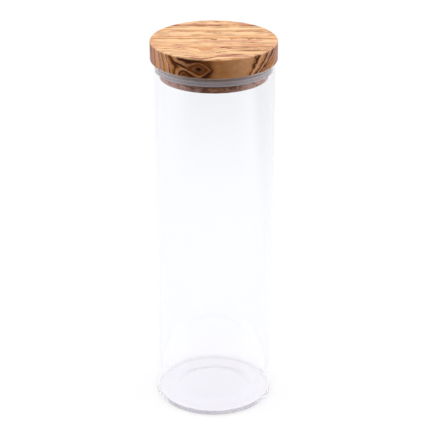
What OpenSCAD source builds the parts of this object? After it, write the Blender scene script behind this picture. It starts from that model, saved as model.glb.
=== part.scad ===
// Lidded glass canister: a tall straight glass jar, a turned olive wood lid that plugs its mouth,
// and a silicone seal with two lips in a groove round the plug.
// The origin is on the axis, on the surface that the jar stands on, and +Z is up.

/* [Jar] */
// Outside diameter of the glass
jar_d = 100; // [80:1:130]
// Height of the glass, from the surface it stands on to its rim
jar_h = 305; // [120:1:400]
// Thickness of the glass wall
wall_t = 2; // [1.5:0.1:3]
// Thickness of the glass floor where it meets the wall
floor_t = 4; // [2.5:0.1:6]
// Rise of the floor's upper face at its middle
floor_rise = 0.4; // [0.2:0.1:2]
// Radius of the outer edge that the jar stands on
heel_r = 3; // [2:0.5:6]
// Radius inside the jar, where the wall turns into the floor
corner_r = 1.2; // [0.5:0.1:8]
// Width of the flat ring that the jar stands on
stand_w = 10.5; // [6:0.5:16]
// Width of the slope from that ring up to the raised middle of the underside
rise_w = 11.5; // [6:0.5:16]
// Rise of the underside's middle above that ring
push_up = 0.8; // [0.3:0.1:1.5]

/* [Lid] */
// How far the wooden disc stands out past the glass
disc_over = 1.5; // [0:0.5:5]
// Thickness of the disc
disc_t = 16; // [8:0.5:30]
// Radius of the disc's top edge
disc_top_r = 1.5; // [0.5:0.1:4]
// Radius of the disc's bottom edge
disc_bottom_r = 0.8; // [0.3:0.1:3]
// Length of the plug below the disc
plug_l = 14.2; // [12:0.1:30]
// Radius of the plug's bottom edge
plug_edge_r = 1; // [0.3:0.1:3]
// Depth of the seal's groove, from the plug's side
groove_depth = 2; // [1:0.1:4]
// Height of that groove
groove_h = 5; // [4:0.1:8]
// Distance from the disc down to the groove
groove_drop = 3.1; // [1:0.1:6]

/* [Seal] */
// How far the seal's band stands out of its groove
band_proud = 1.3; // [0.5:0.1:2.5]
// Thickness of a lip where it leaves the band
lip_root_t = 1.2; // [0.8:0.1:1.6]
// Thickness of a lip at its rounded tip
lip_tip_t = 0.7; // [0.4:0.1:1]
// How much higher than its root the tip of a lip lies
lip_rise = 0.6; // [0:0.1:1]

/* [Clearances] */
// Gap between the plug's side and the glass, which the lips bridge
plug_gap = 3.9; // [3:0.1:6]
// Gap between a lip's tip and the glass
lip_gap = 0.1; // [0.05:0.01:0.3]
// Gap between the seal and its groove, all round
seal_gap = 0.05; // [0.02:0.01:0.1]
// Gap between the glass rim and the disc
rim_gap = 0.3; // [0.1:0.1:1]

/* [Hidden] */
$fn = 180;
arc_steps = 12;

jar_r = jar_d / 2;
bore_r = jar_r - wall_t;
rim_r = wall_t / 2;
ring_r = jar_r - heel_r - stand_w;

disc_r = jar_r + disc_over;
disc_z = jar_h + rim_gap;
lid_top_z = disc_z + disc_t;
plug_r = bore_r - plug_gap;
plug_z = disc_z - plug_l;
groove_r = plug_r - groove_depth;
groove_top_z = disc_z - groove_drop;
groove_z = groove_top_z - groove_h;

seal_r = groove_r + seal_gap;
seal_z = groove_z + seal_gap;
seal_top_z = groove_top_z - seal_gap;
band_r = plug_r + band_proud;
lip_r = bore_r - lip_gap;

// Points of an arc of radius r about the point c, from the angle a to the angle b
function arc(c, r, a, b) =
    [for (i = [0:arc_steps]) let (t = a + (b - a) * i / arc_steps) c + r * [cos(t), sin(t)]];

// Points of a shallow dome, from its middle at [0, z + rise] out to its edge at [r, z]
function dome(r, z, rise) =
    let (ball = (r * r + rise * rise) / (2 * rise))
    arc([0, z + rise - ball], ball, 90, 90 - asin(r / ball));

// Points of a smooth slope of width w, from the height h down to 0 at the radius r
function slope(r, w, h) =
    [for (i = [0:arc_steps]) let (t = i / arc_steps) [r - w * (1 - t), h * (1 + cos(180 * t)) / 2]];

// The same points from last to first
function backwards(points) = [for (i = [len(points) - 1:-1:0]) points[i]];

// One lip from its lower root at the height z, round its tip and back to the band
function lip(z) =
    let (tip = lip_tip_t / 2, middle = z + lip_root_t / 2 + lip_rise)
    concat([[band_r, z]], arc([lip_r - tip, middle], tip, -90, 90), [[band_r, z + lip_root_t]]);

// Straight tube wall with a round rim, a round heel, and a thick floor that stands on a flat ring
module glass_jar() {
    color("azure", 0.35)
    rotate_extrude() polygon(concat(
        [[0, push_up]],
        slope(ring_r, rise_w, push_up),
        arc([jar_r - heel_r, heel_r], heel_r, -90, 0),
        arc([jar_r - rim_r, jar_h - rim_r], rim_r, 0, 180),
        arc([bore_r - corner_r, floor_t + corner_r], corner_r, 0, -90),
        backwards(dome(bore_r - corner_r, floor_t, floor_rise))
    ));
}

// Disc that covers the rim, and the plug below it with the seal's groove, turned from one blank
module wooden_lid() {
    color("burlywood")
    rotate_extrude() polygon(concat(
        [[0, plug_z]],
        arc([plug_r - plug_edge_r, plug_z + plug_edge_r], plug_edge_r, -90, 0),
        [[plug_r, groove_z], [groove_r, groove_z], [groove_r, groove_top_z], [plug_r, groove_top_z]],
        [[plug_r, disc_z]],
        arc([disc_r - disc_bottom_r, disc_z + disc_bottom_r], disc_bottom_r, -90, 0),
        arc([disc_r - disc_top_r, lid_top_z - disc_top_r], disc_top_r, 0, 90),
        [[0, lid_top_z]]
    ));
}

// Band that fills the groove, with one lip at its foot and one near its top, both sloping up to the glass
module silicone_seal() {
    color("lightgray")
    rotate_extrude() polygon(concat(
        [[seal_r, seal_z]],
        lip(seal_z),
        lip(seal_top_z - lip_root_t - lip_rise),
        [[band_r, seal_top_z], [seal_r, seal_top_z]]
    ));
}

glass_jar();
wooden_lid();
silicone_seal();
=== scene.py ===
import math

import bpy
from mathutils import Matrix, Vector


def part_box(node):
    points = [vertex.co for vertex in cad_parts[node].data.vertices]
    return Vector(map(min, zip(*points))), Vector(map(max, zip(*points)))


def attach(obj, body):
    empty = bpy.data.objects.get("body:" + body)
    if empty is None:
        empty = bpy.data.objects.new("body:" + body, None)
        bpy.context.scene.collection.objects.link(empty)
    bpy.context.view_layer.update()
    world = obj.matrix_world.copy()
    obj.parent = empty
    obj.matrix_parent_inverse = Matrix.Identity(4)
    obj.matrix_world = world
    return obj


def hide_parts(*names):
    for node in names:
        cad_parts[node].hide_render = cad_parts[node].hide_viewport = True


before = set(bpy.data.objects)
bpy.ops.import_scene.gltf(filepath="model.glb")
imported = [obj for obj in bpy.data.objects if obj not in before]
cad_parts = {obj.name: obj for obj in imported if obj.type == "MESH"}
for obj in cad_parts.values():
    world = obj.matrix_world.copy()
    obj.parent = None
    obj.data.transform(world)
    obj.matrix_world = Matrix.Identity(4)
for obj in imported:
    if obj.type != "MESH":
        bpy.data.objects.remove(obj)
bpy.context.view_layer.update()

mm = 0.001
tiny = 0.001  # keeps a division sound on the axis
jarLow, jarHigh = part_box("glass_jar")
lidLow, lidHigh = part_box("wooden_lid")
sealLow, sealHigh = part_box("silicone_seal")
vector, number = "NodeSocketVector", "NodeSocketFloat"


# Helpers that every node tree below uses

def feed(tree, socket, value):
    if isinstance(value, bpy.types.NodeSocket):
        tree.links.new(value, socket)
    else:
        socket.default_value = value


def addNode(tree, kind, inputs, **settings):
    node = tree.nodes.new(kind)
    for key, value in settings.items():
        setattr(node, key, value)
    for key, value in inputs.items():
        feed(tree, node.inputs[key], value)
    return node


def newTree(name, kind, inputs, outputs):
    tree = bpy.data.node_groups.new(name, kind)
    for direction, sockets in (("INPUT", inputs), ("OUTPUT", outputs)):
        for label, socketType in sockets.items():
            tree.interface.new_socket(name=label, in_out=direction, socket_type=socketType)
    given = tree.nodes.new("NodeGroupInput").outputs
    result = tree.nodes.new("NodeGroupOutput").inputs
    return tree, given, result


def placeGroup(tree, group, **values):
    return addNode(tree, "ShaderNodeGroup", values, node_tree=group).outputs


def newMaterial(name):
    material = bpy.data.materials.new(name)
    material.use_nodes = True
    tree = material.node_tree
    tree.nodes.clear()
    shader = tree.nodes.new("ShaderNodeBsdfPrincipled")
    output = tree.nodes.new("ShaderNodeOutputMaterial")
    tree.links.new(shader.outputs[0], output.inputs["Surface"])
    return material, tree, shader.inputs


def outputOf(tree):
    return next(node for node in tree.nodes if node.type == "OUTPUT_MATERIAL").inputs


def calc(tree, operation, a, b=0.0, c=0.0, clamp=False):
    node = addNode(tree, "ShaderNodeMath", {0: a, 1: b, 2: c}, operation=operation, use_clamp=clamp)
    return node.outputs[0]


def combine(tree, operation, values):
    result = values[0]
    for value in values[1:]:
        result = calc(tree, operation, result, value)
    return result


def vectorCalc(tree, operation, a, b=(0, 0, 0)):
    node = addNode(tree, "ShaderNodeVectorMath", {0: a, 1: b}, operation=operation)
    plain = operation in ("LENGTH", "DISTANCE", "DOT_PRODUCT")
    return node.outputs["Value" if plain else "Vector"]


# Runs smoothly from the start value at low to the end value at high
def fade(tree, value, low, high, start=0.0, end=1.0):
    return addNode(tree, "ShaderNodeMapRange", {"Value": value, "From Min": low, "From Max": high,
                                                "To Min": start, "To Max": end},
                   interpolation_type="SMOOTHSTEP").outputs[0]


def blendColour(tree, share, a, b, how="MIX"):
    node = addNode(tree, "ShaderNodeMix", {0: share, 6: a, 7: b}, data_type="RGBA", blend_type=how)
    return node.outputs[2]


def colour(red, green, blue):
    return (red, green, blue, 1.0)


def stretched(tree, place, scale):
    return vectorCalc(tree, "MULTIPLY", place, scale)


def noise(tree, place, scale=1.0, detail=2.0, roughness=0.5):
    return addNode(tree, "ShaderNodeTexNoise", {"Vector": place, "Scale": scale, "Detail": detail,
                                                "Roughness": roughness}).outputs[0]


def lineNoise(tree, value, detail, roughness):
    return addNode(tree, "ShaderNodeTexNoise", {"W": value, "Scale": 1.0, "Detail": detail,
                                                "Roughness": roughness}, noise_dimensions="1D").outputs[0]


def axes(tree, place):
    return addNode(tree, "ShaderNodeSeparateXYZ", {0: place}).outputs


def axisDistance(tree, place):
    return vectorCalc(tree, "LENGTH", stretched(tree, place, (1, 1, 0)))


# The piece's own coordinates in millimetres, with z counted from the given height
def inMillimetres(tree, height=0.0):
    coordinates = tree.nodes.new("ShaderNodeTexCoord").outputs["Object"]
    return addNode(tree, "ShaderNodeMapping", {"Vector": coordinates, "Location": (0, 0, -height / mm),
                                               "Scale": (1 / mm, 1 / mm, 1 / mm)}).outputs[0]


# A clear shader takes the place of the material's own for a share of the rays
def showThrough(tree, share, tint):
    surface = outputOf(tree)["Surface"]
    own = surface.links[0].from_socket
    clear = addNode(tree, "ShaderNodeBsdfTransparent", {"Color": tint})
    both = addNode(tree, "ShaderNodeMixShader", {0: share, 1: own, 2: clear.outputs[0]})
    feed(tree, surface, both.outputs[0])


# Glass and silicone would stop the lamps' rays, so those pass through a clear shader
def letLampsThrough(tree, tint):
    path = tree.nodes.new("ShaderNodeLightPath").outputs
    showThrough(tree, calc(tree, "MAXIMUM", path["Is Shadow Ray"], path["Is Diffuse Ray"]), tint)


# Finger smudges and specks of dust
marks = {"smudgeStretch": (0.06, 0.06, 0.04), "smudges": (0.50, 0.70),
         "speckScale": 1.5, "specks": (0.64, 0.74)}


def makeHandling():
    tree, given, result = newTree("handling", "ShaderNodeTree", {"Place": vector},
                                  {"Smudge": number, "Dust": number})
    touched = noise(tree, stretched(tree, given["Place"], marks["smudgeStretch"]), detail=3)
    specks = noise(tree, given["Place"], marks["speckScale"])
    feed(tree, result["Smudge"], fade(tree, touched, *marks["smudges"]))
    feed(tree, result["Dust"], fade(tree, specks, *marks["specks"]))
    return tree


# 1 at a turned edge of the given radius and height, and 0 beyond its reach
def nearEdge(tree, place, radius, height, reach):
    out = calc(tree, "SUBTRACT", axisDistance(tree, place), radius)
    up = calc(tree, "SUBTRACT", axes(tree, place)["Z"], height)
    away = calc(tree, "SQRT", calc(tree, "MULTIPLY_ADD", out, out, calc(tree, "MULTIPLY", up, up)))
    return fade(tree, away, 0.0, reach, 1.0, 0.0)


# Wear round a turned edge is broken up into patches
wear = {"patchScale": 0.3, "patches": (0.35, 0.62, 0.2, 1.0)}


def makeEdgeWear():
    tree, given, result = newTree(
        "edgeWear", "ShaderNodeTree",
        {"Place": vector, "Radius": number, "Height": number, "Reach": number},
        {"Near": number, "Worn": number})
    near = nearEdge(tree, given["Place"], given["Radius"], given["Height"], given["Reach"])
    patches = fade(tree, noise(tree, given["Place"], wear["patchScale"], detail=3), *wear["patches"])
    feed(tree, result["Near"], near)
    feed(tree, result["Worn"], calc(tree, "MULTIPLY", near, patches))
    return tree


def edgeWear(tree, place, radius, height, reach):
    return placeGroup(tree, edgeWearGroup, Place=place, Radius=radius, Height=height, Reach=reach)


handlingGroup = makeHandling()
edgeWearGroup = makeEdgeWear()


# The lathe: the glass, the lid and the seal are each turned from a half outline

lathing = {"segments": 256, "sharpAngle": 35, "shoulderGap": 0.4 * mm, "mergeReach": 0.001 * mm}


def makeLathe():
    tree, given, result = newTree(
        "lathe", "GeometryNodeTree",
        {"Outline": "NodeSocketGeometry", "Guide Radius": number, "Round Steps": "NodeSocketInt",
         "Segments": "NodeSocketInt", "Material": "NodeSocketMaterial"},
        {"Piece": "NodeSocketGeometry"})
    rounding = addNode(tree, "GeometryNodeInputNamedAttribute", {"Name": "rounding"})
    line = addNode(tree, "GeometryNodeMeshToCurve", {"Mesh": given["Outline"]})
    rounded = addNode(tree, "GeometryNodeFilletCurve",
                      {"Curve": line.outputs[0], "Count": given["Round Steps"],
                       "Radius": rounding.outputs[0], "Limit Radius": False}, mode="POLY")
    guide = addNode(tree, "GeometryNodeCurvePrimitiveCircle",
                    {"Resolution": given["Segments"], "Radius": given["Guide Radius"]})
    turned = addNode(tree, "GeometryNodeCurveToMesh",
                     {"Curve": guide.outputs[0], "Profile Curve": rounded.outputs[0]})
    closed = addNode(tree, "GeometryNodeMergeByDistance",
                     {"Geometry": turned.outputs[0], "Distance": lathing["mergeReach"]})
    smooth = addNode(tree, "GeometryNodeSetShadeSmooth", {"Geometry": closed.outputs[0]})
    plain = addNode(tree, "GeometryNodeRealizeInstances", {"Geometry": smooth.outputs[0]})
    painted = addNode(tree, "GeometryNodeSetMaterial",
                      {"Geometry": plain.outputs[0], "Material": given["Material"]})
    feed(tree, result["Piece"], painted.outputs[0])
    return tree


# An outline is a list of corners, each (distance from the axis, height, rounding), all in metres, that
# runs up the outside. The lathe sweeps it along a guide circle, with its distances counted from that
# circle and its heights downwards, so it is laid out from its last corner back.
def turn(name, outline, material, roundSteps):
    guideRadius = max(corner[0] for corner in outline)
    laidOut = outline[::-1]
    mesh = bpy.data.meshes.new(name)
    mesh.from_pydata([(radius - guideRadius, -height, 0) for radius, height, _ in laidOut],
                     [(i, i + 1) for i in range(len(laidOut) - 1)], [])
    rounding = mesh.attributes.new("rounding", "FLOAT", "POINT")
    rounding.data.foreach_set("value", [corner[2] for corner in laidOut])
    piece = bpy.data.objects.new(name, mesh)
    bpy.context.scene.collection.objects.link(piece)
    modifier = piece.modifiers.new("lathe", "NODES")
    modifier.node_group = lathe
    values = {"Guide Radius": guideRadius, "Round Steps": roundSteps, "Segments": lathing["segments"],
              "Material": material}
    for socket in lathe.interface.items_tree:
        if socket.name in values:
            modifier[socket.identifier] = values[socket.name]
    bpy.context.view_layer.update()
    evaluated = piece.evaluated_get(bpy.context.evaluated_depsgraph_get())
    finished = bpy.data.meshes.new_from_object(evaluated)
    piece.modifiers.remove(modifier)
    piece.data = finished
    finished.set_sharp_from_angle(angle=math.radians(lathing["sharpAngle"]))
    print("turned", name, "with", len(finished.polygons), "faces")
    return piece


# Extra corners beside each rounding, so that shading stays straight along the flats
def withShoulders(outline):
    gap = lathing["shoulderGap"]
    fuller = []
    for i, (radius, height, rounding) in enumerate(outline):
        for j in (i - 1, i + 1):
            if j == i + 1:
                fuller.append((radius, height, rounding))
            if rounding == 0 or j < 0 or j >= len(outline):
                continue
            otherR, otherZ, otherRounding = outline[j]
            length = math.hypot(otherR - radius, otherZ - height)
            reach = rounding + gap
            if length > reach + otherRounding + gap:
                share = reach / length
                fuller.append((radius + (otherR - radius) * share,
                               height + (otherZ - height) * share, 0))
    return fuller


lathe = makeLathe()


# Glass jar

jar = {
    "radius": jarHigh.x, "height": jarHigh.z, "wall": 2 * mm, "floor": 4 * mm,
    "heel": 3 * mm, "corner": 1.2 * mm, "standWidth": 10.5 * mm, "riseWidth": 11.5 * mm,
    "pushUp": 0.8 * mm, "floorRise": 0.4 * mm, "riseSteps": 12, "roundSteps": 10,
    "clear": (0.979, 0.984, 1.0), "clearest": (0.983, 0.987, 1.0), "cloudScale": 0.03,
    "refraction": 1.47, "tint": (0.1, 0.0, 0.3), "greyness": 2.5,
    "lampTint": (0.955, 0.925, 0.96), "heelTint": (0.40, 0.40, 0.40), "heelShade": (0.5, 0.95),
    "heelEdge": (48.5, 1.5, 6.0),  # radius, height and reach in millimetres
    "heelRoughness": 0.18, "smudgeRoughness": 0.012, "dustRoughness": 0.06,
    "underside": (2.0, 1.2, 0.0, 0.15),  # two heights in millimetres, and the roughness at each
    "scuffStretch": (0.8, 0.8, 2.5), "scuffStrength": 0.2, "scuffDepth": 0.04 * mm,
}


# Half outline of the floor's underside: a raised middle and a smooth slope down to the flat ring
def undersideOutline():
    ringRadius = jar["radius"] - jar["heel"] - jar["standWidth"]
    steps = jar["riseSteps"]
    slope = [(ringRadius - jar["riseWidth"] * (1 - i / steps),
              jar["pushUp"] * (1 + math.cos(math.pi * i / steps)) / 2, 0) for i in range(steps + 1)]
    return [(0, jar["pushUp"], 0)] + slope


# The floor's upper face, from its edge in to its slightly raised middle
def insideOutline(reach):
    steps = jar["riseSteps"]
    return [(reach * (1 - i / steps), jar["floor"] + jar["floorRise"] * (1 - (1 - i / steps) ** 2), 0)
            for i in range(steps + 1)]


def jarOutline():
    bore = jar["radius"] - jar["wall"]
    wall = [(jar["radius"], 0, jar["heel"]), (jar["radius"], jar["height"], jar["wall"] / 2),
            (bore, jar["height"], jar["wall"] / 2), (bore, jar["floor"], jar["corner"])]
    return withShoulders(undersideOutline() + wall + insideOutline(bore - jar["corner"]))


def makeGlass():
    material, tree, shader = newMaterial("clearGlass")
    place = inMillimetres(tree)
    cloud = noise(tree, place, jar["cloudScale"], detail=1)
    feed(tree, shader["Base Color"],
         blendColour(tree, cloud, colour(*jar["clear"]), colour(*jar["clearest"])))
    shader["Transmission Weight"].default_value = 1.0
    shader["IOR"].default_value = jar["refraction"]

    # The jar slides about on its heel, and its underside keeps a soft finish from the mould
    heel = edgeWear(tree, place, *jar["heelEdge"])
    touch = placeGroup(tree, handlingGroup, Place=place)
    rough = combine(tree, "MAXIMUM", [
        calc(tree, "MULTIPLY", heel["Near"], jar["heelRoughness"]),
        fade(tree, axes(tree, place)["Z"], *jar["underside"]),
        calc(tree, "MULTIPLY", touch["Smudge"], jar["smudgeRoughness"]),
        calc(tree, "MULTIPLY", touch["Dust"], jar["dustRoughness"])])
    feed(tree, shader["Roughness"], rough)
    scuffs = noise(tree, stretched(tree, place, jar["scuffStretch"]), detail=3)
    bump = addNode(tree, "ShaderNodeBump", {"Height": calc(tree, "MULTIPLY", scuffs, heel["Worn"]),
                                            "Strength": jar["scuffStrength"],
                                            "Distance": jar["scuffDepth"]})
    feed(tree, shader["Normal"], bump.outputs[0])

    # Light that passes the thick heel comes out darker
    thick = fade(tree, nearEdge(tree, place, *jar["heelEdge"]), *jar["heelShade"])
    letLampsThrough(tree, blendColour(tree, thick, colour(*jar["lampTint"]), colour(*jar["heelTint"])))
    absorb = addNode(tree, "ShaderNodeVolumeAbsorption",
                     {"Color": colour(*jar["tint"]), "Density": jar["greyness"]})
    feed(tree, outputOf(tree)["Volume"], absorb.outputs[0])
    return material


glassJar = turn("glassJar", jarOutline(), makeGlass(), jar["roundSteps"])
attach(glassJar, "jar")
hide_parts("glass_jar")


# Wooden lid

lid = {
    "radius": lidHigh.x, "top": lidHigh.z, "thickness": 16 * mm, "topEdge": 1.5 * mm,
    "bottomEdge": 0.8 * mm, "plugRadius": 44.1 * mm, "plugEdge": 1 * mm, "grooveDrop": 3.1 * mm,
    "grooveHeight": 5 * mm, "grooveDepth": 2 * mm, "roundSteps": 8,

    # Lengths in the wood are in millimetres, with x along the grain and z = 0 on the lid's top face
    "wood": {
        "pale": (1.0, 0.645, 0.360), "honey": (0.71, 0.325, 0.135), "pink": (0.73, 0.345, 0.215),
        "line": (0.26, 0.080, 0.024), "veinOnTop": (0.24, 0.070, 0.020), "wornAndHighlit": (0.90, 0.55, 0.34),
        "lightSide": (0.88, 0.455, 0.240), "midSide": (0.48, 0.180, 0.042),
        "darkSide": (0.17, 0.042, 0.006), "vein": (0.055, 0.010, 0.001), "core": (0.020, 0.003, 0.001),
        "brown": (0.57, 0.235, 0.076), "tan": (0.80, 0.400, 0.190), "purple": (0.50, 0.270, 0.240),
        "plugEnds": (0.70, 0.41, 0.33), "plugLines": (0.16, 0.065, 0.045),

        # How much of a colour or a mark shows
        "shares": {"fine": 0.75, "purple": 0.8, "brown": 0.95, "plugEnds": 0.75, "underSeal": 0.7,
                   "smudge": 0.10, "topWear": 0.35, "bottomHighlight": 0.6},
        "roughness": {"plain": 0.42, "fibre": 0.16, "smudge": -0.08, "dust": 0.12},
        "gloss": 0.1, "bumpStrength": 0.35, "bumpDepth": 0.08 * mm, "lineDepth": 0.3,

        # The rings lean outwards below the top: evenly on the left, and on the right by a slope that
        # grows with the ring value, up to the most. They lean no further below the deepest z.
        "lean": {"left": 0.15, "right": 1.93, "growth": 0.0415, "most": 1.5, "deepest": -17.0},

        # Noise that moves the rings: its scale along x, y and z, its detail, and how far it moves them
        "drifts": {"wave": ((0.014, 0.07, 0.05), 1, 1.0), "ripple": ((0.055, 0.24, 0.16), 2, 0.75),
                   "plug": ((0.10, 0.3, 0.6), 2, 3.0), "right": ((0.2, 0.3, 0.3), 1, 1.8),
                   "jitter": ((0.5, 0.9, 0.9), 2, 0.25), "figure": ((0.030, 0.06, 0.06), 2, 4.2),
                   "flame": ((0.10, 0.17, 0.17), 2, 2.6)},

        # Other noise: its scale along x, y and z, its detail and its roughness
        "patterns": {"patch": ((0.045, 0.10, 0.08), 2, 0.5), "blotch": ((0.05, 0.11, 0.09), 3, 0.5),
                     "curl": ((0.10, 0.24, 0.34), 3, 0.6), "fibre": ((0.06, 2.4, 2.4), 3, 0.6),
                     "width": ((0.10, 0.22, 0.22), 3, 0.5), "bend": ((0.09, 0.0, 0.16), 2, 0.5)},

        # Stripes along the rings: their rate, shift, detail and roughness, and where they fade in
        "stripes": {"tone": (0.20, 0.0, 2, 0.6, 0.46, 0.61), "pink": (0.09, 31.0, 1, 0.5, 0.45, 0.65),
                    "line": (0.45, 0.0, 3, 0.7, 0.53, 0.62), "fine": (0.45, 0.0, 2, 0.6, 0.48, 0.62),
                    "beyond": (0.32, 0.0, 2, 0.6, 0.40, 0.60)},

        # Each effect's start and end, and its strength there where that isn't 0 and 1
        "along": {
            "X": {"leanChange": (-12, 12), "farRight": (14.0, 28.0), "bandLeft": (0.0, -20.0),
                  "brown": (-5.0, 3.0), "tan": (2.0, 28.0), "rightEnd": (-4.0, 4.0)},
            "Y": {"plugFront": (-12.0, -34.0), "streakFront": (-10.0, -20.0)},
            "Z": {"side": (-0.3, -1.2), "belowTop": (-0.2, -2.0), "plugDrift": (-16.0, -19.0),
                  "plug": (-16.0, -17.5), "underSeal": (-25.9, -24.1),
                  "veins": (-16.0, -17.5, 1.0, 0.4), "halos": (-16.0, -17.5, 0.5, 0.25)},
        },
        "fades": {"pinkPatch": (0.40, 0.60), "linePatch": (0.38, 0.58, 0.1, 1.0),
                  "veinPatch": (0.36, 0.56, 0.4, 1.0), "midTone": (0.0, 0.55), "darkTone": (0.5, 1.0),
                  "endGrain": (0.70, 0.97), "purpleBlotch": (0.42, 0.60), "brownRing": (-38.0, -42.0),
                  "plugMiddle": (9.0, 19.0, 1.0, 0.0), "middleCurl": (0.60, 0.46, 0.1, 0.95),
                  "endCurl": (0.50, 0.64), "fibreShade": (0.25, 0.75, 0.82, 1.12),
                  "veinWidth": (0.32, 0.66, 0.45, 1.5), "filledEye": (0.80, 0.95, 0.0, 0.5),
                  "heartStain": (0.02, 0.25, 0.0, 0.75), "heartCore": (0.45, 0.85)},

        # Knots: centre, size, lift and how sharply they fall off
        "knots": {"eye": ((-11.0, -50.2, -8.6), (11.4, 12.0, 6.0), 14.0, 1.3),
                  "heart": ((-11.9, -50.2, -8.2), (3.3, 6.0, 1.9), 3.5, 1.3),
                  "swirl": ((-22.5, -46.5, -14.0), (5.0, 8.0, 4.0), -4.0, 2),
                  "sweep": ((-8.0, -30.0, 0.0), (9.0, 8.0, 12.0), 9.0, 2)},

        # Dark veins at the left end of the grain, the right end and both: ring value, width, strength
        "veins": {"left": [(-41.0, 1.35, 1.0), (-37.2, 0.60, 0.9), (-34.4, 0.45, 0.7), (-30.8, 1.0, 0.3)],
                  "right": [(-39.2, 0.40, 0.9), (-37.6, 0.95, 1.0), (-35.6, 0.25, 0.7),
                            (-29.8, 0.40, 0.8), (-28.0, 1.20, 1.0), (-24.2, 0.35, 0.6),
                            (-22.2, 0.45, 0.8), (-20.0, 1.40, 1.0)],
                  "both": [(-13.5, 0.60, 0.6), (12.0, 0.70, 0.7), (20.5, 0.80, 0.8), (37.0, 1.60, 1.0),
                           (44.0, 0.60, 0.8)]},
        "veinCore": 0.3, "veinHalo": 3.0,  # shares of a vein's width

        # Dark streaks across the rings: from one x and z to another, and the width
        "streaks": [((-36.5, 0.0), (-30.0, -5.5), 0.85), ((-30.0, -5.5), (-24.4, -7.0), 1.0),
                    ((-24.4, -7.0), (-11.5, -12.2), 1.1), ((-23.4, -11.0), (-14.5, -16.0), 0.75)],
        "streakBend": 3.0,

        # Growth rings on the side: ring value, and how dark it is there, from 0 to 1
        "tones": [(-52, 0.75), (-44, 0.9), (-42, 1.0), (-40.2, 0.30), (-38.6, 0.2), (-37.8, 0.60),
                  (-36.2, 0.6), (-34.8, 0.1), (-33.2, 0.0), (-31.2, 0.4), (-30.2, 0.0), (-28.6, 0.2),
                  (-27.2, 0.7), (-25.8, 0.2), (-24.2, 0.0), (-22.0, 0.3), (-20.0, 0.8), (-17.5, 0.3)],
        "toneBlend": 1,  # how far the last of them and the stripes beyond run into each other
        "purpleBand": (-27.3, 0.68, 1.7),  # ring value, half width at full strength, and at none
        "tanBlotches": 2.6, "plugBlotches": 24.0,  # how far the blotches shift the tan and the plug's dark
        "plugMiddle": 4.0,
        "topWear": (0.4, 1.5), "bottomHighlight": (0.2, 1.2),  # inset from the edge and reach
    },
}
wood = lid["wood"]


def lidOutline():
    under = lid["top"] - lid["thickness"]
    grooveTop = under - lid["grooveDrop"]
    grooveEnd = grooveTop - lid["grooveHeight"]
    grooveRadius = lid["plugRadius"] - lid["grooveDepth"]
    return withShoulders([
        (0, lidLow.z, 0), (lid["plugRadius"], lidLow.z, lid["plugEdge"]),
        (lid["plugRadius"], grooveEnd, 0), (grooveRadius, grooveEnd, 0),
        (grooveRadius, grooveTop, 0), (lid["plugRadius"], grooveTop, 0),
        (lid["plugRadius"], under, 0), (lid["radius"], under, lid["bottomEdge"]),
        (lid["radius"], lid["top"], lid["topEdge"]), (0, lid["top"], 0)])


def painted(tree, base, name, share):
    return blendColour(tree, share, base, colour(*wood[name]))


def fadeAlong(tree, place, axis, name):
    return fade(tree, axes(tree, place)[axis], *wood["along"][axis][name])


def fadeBy(tree, value, name):
    return fade(tree, value, *wood["fades"][name])


def drift(tree, place, name):
    scale, detail, reach = wood["drifts"][name]
    field = noise(tree, stretched(tree, place, scale), detail=detail)
    return calc(tree, "MULTIPLY", calc(tree, "SUBTRACT", field, 0.5), 2 * reach)


def pattern(tree, place, name):
    scale, detail, roughness = wood["patterns"][name]
    return noise(tree, stretched(tree, place, scale), detail=detail, roughness=roughness)


def stripes(tree, ring, name):
    rate, shift, detail, roughness, low, high = wood["stripes"][name]
    value = calc(tree, "MULTIPLY_ADD", ring, rate, shift)
    return fade(tree, lineNoise(tree, value, detail, roughness), low, high)


# A knot lifts the ring value round its centre, so the growth rings close round it
def makeKnot():
    tree, given, result = newTree(
        "knot", "ShaderNodeTree",
        {"Place": vector, "Centre": vector, "Size": vector, "Height": number, "Power": number},
        {"Lift": number, "Core": number})
    away = vectorCalc(tree, "SUBTRACT", given["Place"], given["Centre"])
    apart = vectorCalc(tree, "ABSOLUTE", vectorCalc(tree, "DIVIDE", away, given["Size"]))
    x, y, z = [calc(tree, "POWER", part, given["Power"]) for part in axes(tree, apart)]
    fall = calc(tree, "EXPONENT", calc(tree, "MULTIPLY", combine(tree, "ADD", [x, y, z]), -0.5))
    feed(tree, result["Lift"], calc(tree, "MULTIPLY", fall, given["Height"]))
    feed(tree, result["Core"], fall)
    return tree


# A dark line and the soft halo round it, by the distance from its middle
def drawLine(tree, result, away, width):
    core = calc(tree, "MULTIPLY", width, wood["veinCore"])
    halo = calc(tree, "MULTIPLY", width, wood["veinHalo"])
    feed(tree, result["Mask"], fade(tree, away, core, width, 1.0, 0.0))
    feed(tree, result["Halo"], fade(tree, away, 0.0, halo, 1.0, 0.0))


# A vein runs along the rings, at one ring value
def makeVein():
    tree, given, result = newTree("vein", "ShaderNodeTree",
                                  {"Ring": number, "Level": number, "Width": number},
                                  {"Mask": number, "Halo": number})
    away = calc(tree, "ABSOLUTE", calc(tree, "SUBTRACT", given["Ring"], given["Level"]))
    drawLine(tree, result, away, given["Width"])
    return tree


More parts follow.
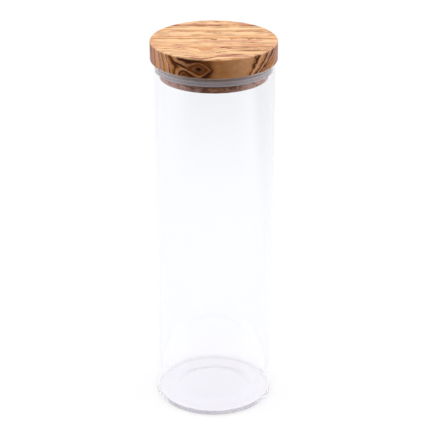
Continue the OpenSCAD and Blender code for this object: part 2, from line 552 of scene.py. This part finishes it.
# A streak runs across the rings, straight from one point to another
def makeStreak():
    tree, given, result = newTree("streak", "ShaderNodeTree",
                                  {"Place": vector, "Start": vector, "End": vector, "Width": number},
                                  {"Mask": number, "Halo": number})
    whole = vectorCalc(tree, "SUBTRACT", given["End"], given["Start"])
    there = vectorCalc(tree, "SUBTRACT", given["Place"], given["Start"])
    share = calc(tree, "DIVIDE", vectorCalc(tree, "DOT_PRODUCT", there, whole),
                 vectorCalc(tree, "DOT_PRODUCT", whole, whole), clamp=True)
    nearest = vectorCalc(tree, "MULTIPLY", whole, share)
    drawLine(tree, result, vectorCalc(tree, "DISTANCE", there, nearest), given["Width"])
    return tree


def placeKnot(tree, place, name):
    centre, size, height, power = wood["knots"][name]
    return placeGroup(tree, knotGroup, Place=place, Centre=centre, Size=size, Height=height, Power=power)


# Growth rings are surfaces where the ring value is the same, and that value is the y at which a ring
# meets the top face
def ringValue(tree, place, knots):
    lean = wood["lean"]
    x, y, z = axes(tree, place)
    onPlug = calc(tree, "MULTIPLY", drift(tree, place, "plug"), fadeAlong(tree, place, "Z", "plugDrift"))
    onRight = combine(tree, "MULTIPLY", [drift(tree, place, "right"),
                                         fadeAlong(tree, place, "X", "farRight"),
                                         fadeAlong(tree, place, "Z", "belowTop")])
    bent = combine(tree, "ADD", [y, drift(tree, place, "wave"), drift(tree, place, "ripple"), onPlug,
                                 onRight])
    depth = calc(tree, "MAXIMUM", z, lean["deepest"])
    onTop = calc(tree, "DIVIDE",
                 calc(tree, "SUBTRACT", bent, calc(tree, "MULTIPLY", depth, lean["right"])),
                 calc(tree, "MULTIPLY_ADD", depth, lean["growth"], 1.0))
    slope = calc(tree, "MULTIPLY_ADD", onTop, lean["growth"], lean["right"])
    slope = calc(tree, "MAXIMUM", calc(tree, "MINIMUM", slope, lean["most"]), lean["left"])
    slope = calc(tree, "MULTIPLY_ADD", calc(tree, "SUBTRACT", slope, lean["left"]),
                 fadeAlong(tree, place, "X", "leanChange"), lean["left"])
    ring = calc(tree, "SUBTRACT", bent, calc(tree, "MULTIPLY", slope, depth))
    lifts = [knot["Lift"] for knot in knots.values()]
    return combine(tree, "ADD", [ring, *lifts, drift(tree, place, "jitter")])


# The rings' share of the dark colour: the tones by ring value, and even stripes beyond the last of them
def ringTone(tree, ring):
    low, high = wood["tones"][0][0], wood["tones"][-1][0]
    node = addNode(tree, "ShaderNodeMapRange", {"Value": ring, "From Min": low, "From Max": high})
    ramp = addNode(tree, "ShaderNodeValToRGB", {0: node.outputs[0]})
    stops = ramp.color_ramp.elements
    for i, (level, tone) in enumerate(wood["tones"]):
        position = (level - low) / (high - low)
        stop = stops[0] if i == 0 else stops[-1] if i == len(wood["tones"]) - 1 else stops.new(position)
        stop.position = position
        stop.color = colour(tone, tone, tone)
    beyond = fade(tree, ring, high - wood["toneBlend"], high + wood["toneBlend"])
    return addNode(tree, "ShaderNodeMix", {0: beyond, 2: ramp.outputs[0],
                                           3: stripes(tree, ring, "beyond")}).outputs[0]


# The sanded top, and the mask of its thin dark lines
def sandedTop(tree, place, ring, patch):
    loose = combine(tree, "ADD", [ring, drift(tree, place, "figure"), drift(tree, place, "flame")])
    top = painted(tree, colour(*wood["pale"]), "honey", stripes(tree, loose, "tone"))
    pinkness = calc(tree, "MULTIPLY", stripes(tree, loose, "pink"), fadeBy(tree, patch, "pinkPatch"))
    top = painted(tree, top, "pink", pinkness)
    lines = calc(tree, "MULTIPLY", stripes(tree, loose, "line"), fadeBy(tree, patch, "linePatch"))
    return painted(tree, top, "line", lines), lines


# The turned side is darker than the sanded top: partly the wood's own darker tone, partly painted shade for
# sides that face away from the top light
def turnedSide(tree, place, ring, blotch):
    shares = wood["shares"]
    banded = ringTone(tree, ring)
    side = painted(tree, colour(*wood["lightSide"]), "midSide", fadeBy(tree, banded, "midTone"))
    side = painted(tree, side, "darkSide", fadeBy(tree, banded, "darkTone"))
    fine = calc(tree, "MULTIPLY", stripes(tree, ring, "fine"), shares["fine"])
    side = painted(tree, side, "midSide", fine)

    # Purple on the end grain, and in one band of rings on the left
    x = axes(tree, place)["X"]
    radius = calc(tree, "MAXIMUM", axisDistance(tree, place), tiny)
    endwards = calc(tree, "DIVIDE", calc(tree, "ABSOLUTE", x), radius)
    endGrain = calc(tree, "MULTIPLY", fadeBy(tree, endwards, "endGrain"),
                    fadeBy(tree, blotch, "purpleBlotch"))
    level, full, none = wood["purpleBand"]
    away = calc(tree, "ABSOLUTE", calc(tree, "SUBTRACT", ring, level))
    band = calc(tree, "MULTIPLY", fade(tree, away, full, none, 1.0, 0.0),
                fadeAlong(tree, place, "X", "bandLeft"))
    purple = calc(tree, "MULTIPLY", calc(tree, "MAXIMUM", endGrain, band), shares["purple"])
    side = painted(tree, side, "purple", purple)

    # Plain brown wood on the right, paler towards the end
    paler = calc(tree, "MULTIPLY_ADD", calc(tree, "SUBTRACT", blotch, 0.5), wood["tanBlotches"],
                 fadeAlong(tree, place, "X", "tan"), clamp=True)
    plain = painted(tree, colour(*wood["brown"]), "tan", paler)
    brown = combine(tree, "MULTIPLY", [fadeBy(tree, ring, "brownRing"),
                                       fadeAlong(tree, place, "X", "brown"), shares["brown"]])
    return blendColour(tree, brown, side, plain)


# The plug is dark in the middle of its front, and a painted shadow lies under the seal's lower lip
def withPlug(tree, place, side, blotch):
    shares = wood["shares"]
    onPlug = fadeAlong(tree, place, "Z", "plug")
    across = calc(tree, "ABSOLUTE", calc(tree, "SUBTRACT", axes(tree, place)["X"], wood["plugMiddle"]))
    across = calc(tree, "MULTIPLY_ADD", calc(tree, "SUBTRACT", blotch, 0.5), wood["plugBlotches"], across)
    inner = calc(tree, "MULTIPLY", fadeBy(tree, across, "plugMiddle"),
                 fadeAlong(tree, place, "Y", "plugFront"))
    curl = pattern(tree, place, "curl")
    dark = calc(tree, "MULTIPLY", inner, fadeBy(tree, curl, "middleCurl"))
    side = painted(tree, side, "darkSide", calc(tree, "MULTIPLY", onPlug, dark))
    outer = calc(tree, "MULTIPLY", calc(tree, "SUBTRACT", 1.0, inner), shares["plugEnds"])
    ends = painted(tree, colour(*wood["plugEnds"]), "plugLines", fadeBy(tree, curl, "endCurl"))
    side = blendColour(tree, calc(tree, "MULTIPLY", onPlug, outer), side, ends)
    # Painted shadow of the seal's lower lip on the plug
    paintedShade = combine(tree, "MULTIPLY", [fadeAlong(tree, place, "Z", "underSeal"), onPlug,
                                       shares["underSeal"]])
    return painted(tree, side, "darkSide", paintedShade)


# Masks of the dark lines and of the halos round them, both faint on the plug
def darkLines(tree, place, ring, side):
    width = fadeBy(tree, pattern(tree, place, "width"), "veinWidth")
    right = fadeAlong(tree, place, "X", "rightEnd")
    ends = {"left": calc(tree, "SUBTRACT", 1.0, right), "right": right, "both": 1.0}
    masks, halos = [], []
    for end, veins in wood["veins"].items():
        for level, widest, strength in veins:
            vein = placeGroup(tree, veinGroup, Ring=ring, Level=level,
                              Width=calc(tree, "MULTIPLY", width, widest))
            shown = calc(tree, "MULTIPLY", ends[end], strength)
            masks.append(calc(tree, "MULTIPLY", vein["Mask"], shown))
            halos.append(calc(tree, "MULTIPLY", vein["Halo"], shown))

    # The streaks lie on the front of the disc, a little bent, and the y of a place doesn't count
    x, _, z = axes(tree, place)
    bent = calc(tree, "MULTIPLY_ADD", pattern(tree, place, "bend"), wood["streakBend"],
                calc(tree, "SUBTRACT", z, wood["streakBend"] / 2))
    flat = addNode(tree, "ShaderNodeCombineXYZ", {0: x, 1: 0.0, 2: bent}).outputs[0]
    front = calc(tree, "MULTIPLY", fadeAlong(tree, place, "Y", "streakFront"), side)
    for (startX, startZ), (endX, endZ), widest in wood["streaks"]:
        streak = placeGroup(tree, streakGroup, Place=flat, Start=(startX, 0, startZ), End=(endX, 0, endZ),
                            Width=calc(tree, "MULTIPLY", width, widest))
        masks.append(calc(tree, "MULTIPLY", streak["Mask"], front))
        halos.append(calc(tree, "MULTIPLY", streak["Halo"], front))
    return (calc(tree, "MULTIPLY", combine(tree, "MAXIMUM", masks), fadeAlong(tree, place, "Z", "veins")),
            calc(tree, "MULTIPLY", combine(tree, "MAXIMUM", halos), fadeAlong(tree, place, "Z", "halos")))


# Handling rubs the disc's top edge pale, and the paler line along its bottom edge is a painted highlight
def rubbedAndHighlitEdges(tree, place):
    rubbed = []
    for name, level, inwards in (("topWear", 0.0, -1), ("bottomHighlight", -lid["thickness"] / mm, 1)):
        inset, reach = wood[name]
        edge = edgeWear(tree, place, lid["radius"] / mm - inset, level + inwards * inset, reach)
        rubbed.append(calc(tree, "MULTIPLY", edge["Worn"], wood["shares"][name]))
    return combine(tree, "MAXIMUM", rubbed)


def makeWood():
    material, tree, shader = newMaterial("oliveWood")
    place = inMillimetres(tree, lid["top"])
    knots = {name: placeKnot(tree, place, name) for name in wood["knots"]}
    ring = ringValue(tree, place, knots)
    patch, blotch, fibre = [pattern(tree, place, name) for name in ("patch", "blotch", "fibre")]
    # Below the top face the side colours take over, and their darkness is partly painted shade, also on the
    # disc's underside and the plug
    side = fadeAlong(tree, place, "Z", "side")
    top, lines = sandedTop(tree, place, ring, patch)
    turned = withPlug(tree, place, turnedSide(tree, place, ring, blotch), blotch)
    base = blendColour(tree, side, top, turned)
    base = blendColour(tree, 1.0, base, fadeBy(tree, fibre, "fibreShade"), how="MULTIPLY")

    veins, halo = darkLines(tree, place, ring, side)
    base = painted(tree, base, "darkSide", calc(tree, "MULTIPLY", halo, side))
    onTop = combine(tree, "MULTIPLY", [veins, fadeBy(tree, patch, "veinPatch"),
                                       calc(tree, "SUBTRACT", 1.0, side)])
    base = painted(tree, base, "veinOnTop", onTop)
    base = painted(tree, base, "vein", calc(tree, "MULTIPLY", veins, side))
    base = painted(tree, base, "darkSide", fadeBy(tree, knots["eye"]["Core"], "filledEye"))
    base = painted(tree, base, "darkSide", fadeBy(tree, knots["heart"]["Core"], "heartStain"))
    base = painted(tree, base, "core", fadeBy(tree, knots["heart"]["Core"], "heartCore"))
    # Worn top edge, and a painted highlight along the bottom edge
    base = painted(tree, base, "wornAndHighlit", rubbedAndHighlitEdges(tree, place))
    touch = placeGroup(tree, handlingGroup, Place=place)
    smudged = calc(tree, "MULTIPLY", touch["Smudge"], wood["shares"]["smudge"])
    base = painted(tree, base, "darkSide", smudged)
    feed(tree, shader["Base Color"], base)

    roughness = wood["roughness"]
    rough = calc(tree, "MULTIPLY_ADD", fibre, roughness["fibre"], roughness["plain"])
    rough = calc(tree, "MULTIPLY_ADD", touch["Smudge"], roughness["smudge"], rough)
    feed(tree, shader["Roughness"], calc(tree, "MULTIPLY_ADD", touch["Dust"], roughness["dust"], rough))
    shader["Specular IOR Level"].default_value = wood["gloss"]
    height = calc(tree, "SUBTRACT", fibre, calc(tree, "MULTIPLY", lines, wood["lineDepth"]))
    bump = addNode(tree, "ShaderNodeBump", {"Height": height, "Strength": wood["bumpStrength"],
                                            "Distance": wood["bumpDepth"]})
    feed(tree, shader["Normal"], bump.outputs[0])
    return material


knotGroup = makeKnot()
veinGroup = makeVein()
streakGroup = makeStreak()
woodenLid = turn("woodenLid", lidOutline(), makeWood(), lid["roundSteps"])
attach(woodenLid, "lid")
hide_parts("wooden_lid")


# Silicone seal

seal = {
    "inner": 42.15 * mm, "band": 45.4 * mm, "outer": sealHigh.x, "rootHeight": 1.2 * mm,
    "tipHeight": 0.7 * mm, "rise": 0.6 * mm, "tipRounding": 0.98, "roundSteps": 6,
    "milky": (0.98, 0.94, 0.92), "clear": (0.94, 0.90, 0.88), "cloudScale": 0.12,
    "clouds": (0.35, 0.65), "dust": (0.95, 0.93, 0.90), "dustShare": 0.3,
    "paintedShade": (0.42, 0.31, 0.26), "shadedRoot": (46.8, 45.2, 0.0, 0.4),  # two radii in millimetres, two shares
    "transmission": 0.05, "refraction": 1.41, "lampTint": (0.93, 0.92, 0.91),
    "scatterTint": (1.0, 0.8, 0.7), "scatterDepth": 8 * mm,
    "roughness": 0.38, "smudgeRoughness": 0.08, "dustRoughness": 0.15, "tipPolish": -0.12,
    "tipDrop": 1.2, "tipReach": 1.2,  # the polish's depth below the seal's top, and its reach, in millimetres
    "grainScale": 3.0, "grainStrength": 0.25, "grainDepth": 0.03 * mm,
}


def lipOutline(height):
    tipLow = height + seal["rise"] + (seal["rootHeight"] - seal["tipHeight"]) / 2
    rounding = seal["tipHeight"] / 2 * seal["tipRounding"]
    return [(seal["band"], height, 0), (seal["outer"], tipLow, rounding),
            (seal["outer"], tipLow + seal["tipHeight"], rounding),
            (seal["band"], height + seal["rootHeight"], 0)]


def sealOutline():
    upper = sealHigh.z - seal["rootHeight"] - seal["rise"]
    ring = [(seal["inner"], sealLow.z, 0), *lipOutline(sealLow.z), *lipOutline(upper),
            (seal["band"], sealHigh.z, 0), (seal["inner"], sealHigh.z, 0)]
    return ring + ring[:1]


def makeSilicone():
    material, tree, shader = newMaterial("silicone")
    place = inMillimetres(tree)
    touch = placeGroup(tree, handlingGroup, Place=place)
    cloud = fade(tree, noise(tree, place, seal["cloudScale"]), *seal["clouds"])
    base = blendColour(tree, cloud, colour(*seal["milky"]), colour(*seal["clear"]))
    dusty = calc(tree, "MULTIPLY", touch["Dust"], seal["dustShare"])
    base = blendColour(tree, dusty, base, colour(*seal["dust"]))
    # Painted shade darkens the seal towards its root, between the lips and under the lid's disc
    root = fade(tree, axisDistance(tree, place), *seal["shadedRoot"])
    feed(tree, shader["Base Color"], blendColour(tree, root, base, colour(*seal["paintedShade"])))
    shader["Transmission Weight"].default_value = seal["transmission"]
    shader["Subsurface Weight"].default_value = 1.0
    shader["Subsurface Radius"].default_value = seal["scatterTint"]
    shader["Subsurface Scale"].default_value = seal["scatterDepth"]
    shader["IOR"].default_value = seal["refraction"]

    # The upper lip's tip is polished where it slides on the glass
    tip = edgeWear(tree, place, seal["outer"] / mm, sealHigh.z / mm - seal["tipDrop"], seal["tipReach"])
    rough = calc(tree, "MULTIPLY_ADD", touch["Smudge"], seal["smudgeRoughness"], seal["roughness"])
    rough = calc(tree, "MULTIPLY_ADD", touch["Dust"], seal["dustRoughness"], rough)
    feed(tree, shader["Roughness"], calc(tree, "MULTIPLY_ADD", tip["Worn"], seal["tipPolish"], rough))
    grain = noise(tree, place, seal["grainScale"], detail=3)
    bump = addNode(tree, "ShaderNodeBump", {"Height": grain, "Strength": seal["grainStrength"],
                                            "Distance": seal["grainDepth"]})
    feed(tree, shader["Normal"], bump.outputs[0])
    letLampsThrough(tree, colour(*seal["lampTint"]))
    return material


siliconeSeal = turn("siliconeSeal", sealOutline(), makeSilicone(), seal["roundSteps"])
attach(siliconeSeal, "seal")
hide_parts("silicone_seal")


# Camera

camera = {
    "place": (-0.24 * mm, -1160.6 * mm, 696.5 * mm), "pitch": 24.48,
    "focalPixels": 1514.9, "framePixels": 427, "sensor": 36.0, "nearest": 0.05, "furthest": 50,
}


def addCamera():
    data = bpy.data.cameras.new("camera")
    data.sensor_width = camera["sensor"]
    data.lens = camera["focalPixels"] / camera["framePixels"] * camera["sensor"]
    data.clip_start = camera["nearest"]
    data.clip_end = camera["furthest"]
    holder = bpy.data.objects.new("camera", data)
    bpy.context.scene.collection.objects.link(holder)
    holder.location = camera["place"]
    holder.rotation_euler = (math.radians(90 - camera["pitch"]), 0, 0)
    bpy.context.scene.camera = holder
    print("placed the camera, with a lens of", round(data.lens, 1), "mm")


addCamera()


# Floor and light

light = {
    "lamps": [("topLight", 0.95, 0, 90), ("leftLight", 1.9, -100, 25),
              ("rightLight", 1.9, 100, 25)],  # strength, azimuth and height in degrees
    "spread": 70, "sky": 0.30, "nearSky": (0, 0.2), "glassBounces": 24,
    "floor": 0.3, "floorGlow": 0.70, "floorRoughness": 0.9, "floorReach": 6.0, "floorDrop": 0.02 * mm,
    "nearFloor": (0.45, 0.85), "facing": (-0.1, -0.95), "front": 0.3,
    "behind": (0.1, 0.9), "behindGrey": 0.05, "rightSide": (0.06, 0.10), "rightGrey": 0.13,
}


def addSun(name, strength, azimuth, elevation):
    data = bpy.data.lights.new(name, "SUN")
    data.energy = strength
    data.angle = math.radians(light["spread"])
    holder = bpy.data.objects.new(name, data)
    bpy.context.scene.collection.objects.link(holder)
    holder.rotation_euler = (math.radians(90 - elevation), 0, math.radians(azimuth))


# 1 for the rays that show the studio, straight or in glass, and 0 for those that light the object
def seenRay(tree):
    path = tree.nodes.new("ShaderNodeLightPath").outputs
    return combine(tree, "MAXIMUM", [path["Is Glossy Ray"], path["Is Transmission Ray"],
                                     path["Is Camera Ray"]])


# The studio grows dark towards its front, which shows only where the object mirrors it
def frontDimmed(tree, spot, near):
    path = tree.nodes.new("ShaderNodeLightPath").outputs
    away = axisDistance(tree, spot)
    forward = calc(tree, "DIVIDE", axes(tree, spot)["Y"], calc(tree, "MAXIMUM", away, tiny))
    dim = combine(tree, "MULTIPLY", [fade(tree, forward, *light["facing"]), fade(tree, away, *near),
                                     calc(tree, "MINIMUM", path["Glossy Depth"], 1.0),
                                     1 - light["front"]])
    return calc(tree, "SUBTRACT", 1.0, dim)


# Far behind the object, and more so to the right, the studio is a little grey where glass shows it
def backDimmed(tree, spot):
    path = tree.nodes.new("ShaderNodeLightPath").outputs
    x, y, _ = axes(tree, spot)
    grey = calc(tree, "ADD", fade(tree, x, *light["rightSide"], 0.0, light["rightGrey"]),
                light["behindGrey"])
    grey = combine(tree, "MULTIPLY", [grey, fade(tree, y, *light["behind"]), path["Is Transmission Ray"]])
    return calc(tree, "SUBTRACT", 1.0, grey)


def addWorld():
    world = bpy.data.worlds.new("studio")
    bpy.context.scene.world = world
    world.use_nodes = True
    tree = world.node_tree
    tree.nodes.clear()
    spot = tree.nodes.new("ShaderNodeTexCoord").outputs["Generated"]
    shown = calc(tree, "MULTIPLY", frontDimmed(tree, spot, light["nearSky"]), backDimmed(tree, spot))
    strength = addNode(tree, "ShaderNodeMix", {0: seenRay(tree), 2: light["sky"], 3: shown}).outputs[0]
    sky = addNode(tree, "ShaderNodeBackground", {"Color": colour(1, 1, 1), "Strength": strength})
    output = tree.nodes.new("ShaderNodeOutputWorld")
    tree.links.new(sky.outputs[0], output.inputs[0])


def addFloor():
    material, tree, shader = newMaterial("paper")
    spot = tree.nodes.new("ShaderNodeTexCoord").outputs["Object"]
    shown = calc(tree, "MULTIPLY", frontDimmed(tree, spot, light["nearFloor"]), backDimmed(tree, spot))
    feed(tree, shader["Base Color"], calc(tree, "MULTIPLY", shown, light["floor"]))
    shader["Roughness"].default_value = light["floorRoughness"]
    shader["Specular IOR Level"].default_value = 0.0
    shader["Emission Color"].default_value = colour(1, 1, 1)
    glow = calc(tree, "MULTIPLY", seenRay(tree), light["floorGlow"])
    feed(tree, shader["Emission Strength"], calc(tree, "MULTIPLY", glow, shown))

    # The floor doesn't hide the object from a camera below it
    under = tree.nodes.new("ShaderNodeNewGeometry").outputs["Backfacing"]
    showThrough(tree, under, colour(1, 1, 1))
    reach = light["floorReach"]
    mesh = bpy.data.meshes.new("floor")
    mesh.from_pydata([(-reach, -reach, 0), (reach, -reach, 0), (reach, reach, 0), (-reach, reach, 0)], [],
                     [(0, 1, 2, 3)])
    mesh.materials.append(material)
    floor = bpy.data.objects.new("floor", mesh)
    bpy.context.scene.collection.objects.link(floor)
    floor.location.z = jarLow.z - light["floorDrop"]


addWorld()
for lamp in light["lamps"]:
    addSun(*lamp)
addFloor()
bpy.context.scene.view_settings.view_transform = "Standard"
bpy.context.scene.cycles.max_bounces = light["glassBounces"]  # rays run far round the base's thick edge
bpy.context.scene.cycles.transmission_bounces = light["glassBounces"]
bpy.context.scene.cycles.glossy_bounces = light["glassBounces"]
print("lit the studio with", len(light["lamps"]), "lamps")
